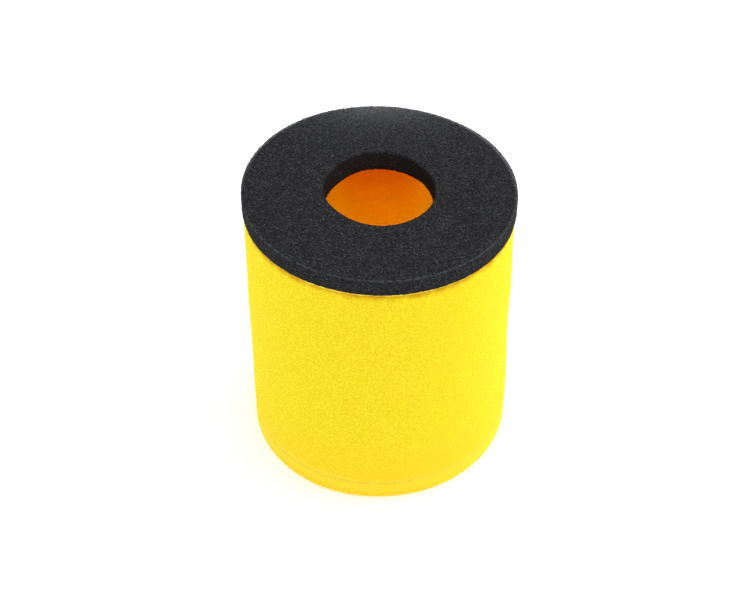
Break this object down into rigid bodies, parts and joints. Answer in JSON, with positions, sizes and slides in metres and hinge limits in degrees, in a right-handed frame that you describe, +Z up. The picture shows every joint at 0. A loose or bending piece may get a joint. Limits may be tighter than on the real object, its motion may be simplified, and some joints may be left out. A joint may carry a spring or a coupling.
{
  "type": "air filter",
  "caption": "Cylindrical foam air filter element: a yellow foam sleeve with a closed base and a black foam end ring around an intake hole.",
  "frame": {"origin": "centre of the underside of the base disc", "axes": "+Z up along the element's axis, from the closed base to the end ring; -Y towards the viewer, with the sleeve's glued seam out of view halfway between -X and +Y"},
  "size_m": [0.12, 0.12, 0.1368],
  "materials": {
    "filter_foam": "matte",
    "seal_foam": "matte",
    "glue": "satin"
  },
  "bodies": {
    "root": {"foam_sleeve": "filter_foam", "base_disc": "filter_foam", "end_ring": "seal_foam", "ring_bond": "glue", "base_bond": "glue", "seam_bond": "glue"}
  },
  "joints": []
}
